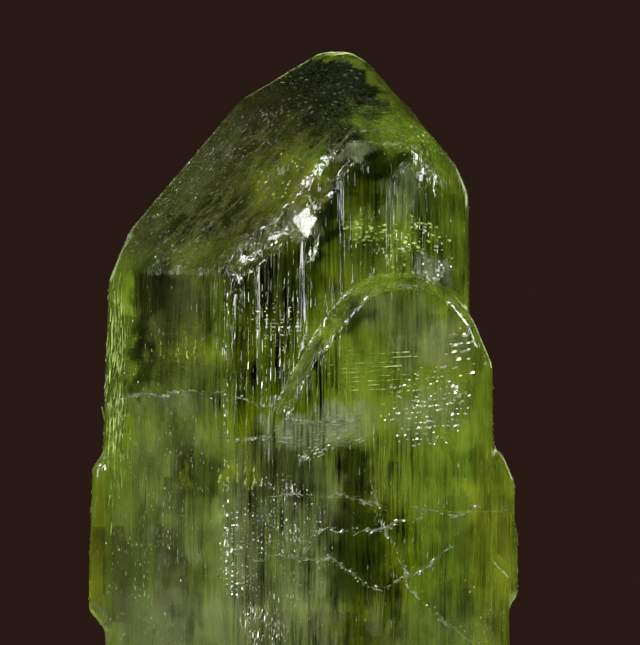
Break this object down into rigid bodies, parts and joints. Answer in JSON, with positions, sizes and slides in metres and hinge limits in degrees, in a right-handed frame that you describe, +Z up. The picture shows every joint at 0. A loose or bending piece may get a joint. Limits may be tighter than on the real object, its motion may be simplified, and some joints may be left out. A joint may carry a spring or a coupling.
{
  "type": "peridot crystal",
  "caption": "Stout clear green crystal with a wedge-shaped top, vertical striations and parallel crystals grown on its sides, cut off flat at the base.",
  "frame": {"origin": "middle of the bounding box at the flat base, on the surface the crystal stands on", "axes": "+Z up along the crystal's long (c) axis, +X to the viewer's right (b axis), -Y towards the viewer, out of the striated front face (a axis)"},
  "size_m": [0.0178, 0.0114, 0.029],
  "materials": {
    "peridot": "clear yellow-green, partly frosted by natural etching"
  },
  "bodies": {
    "root": {"peridot_crystal": "peridot"}
  },
  "joints": []
}
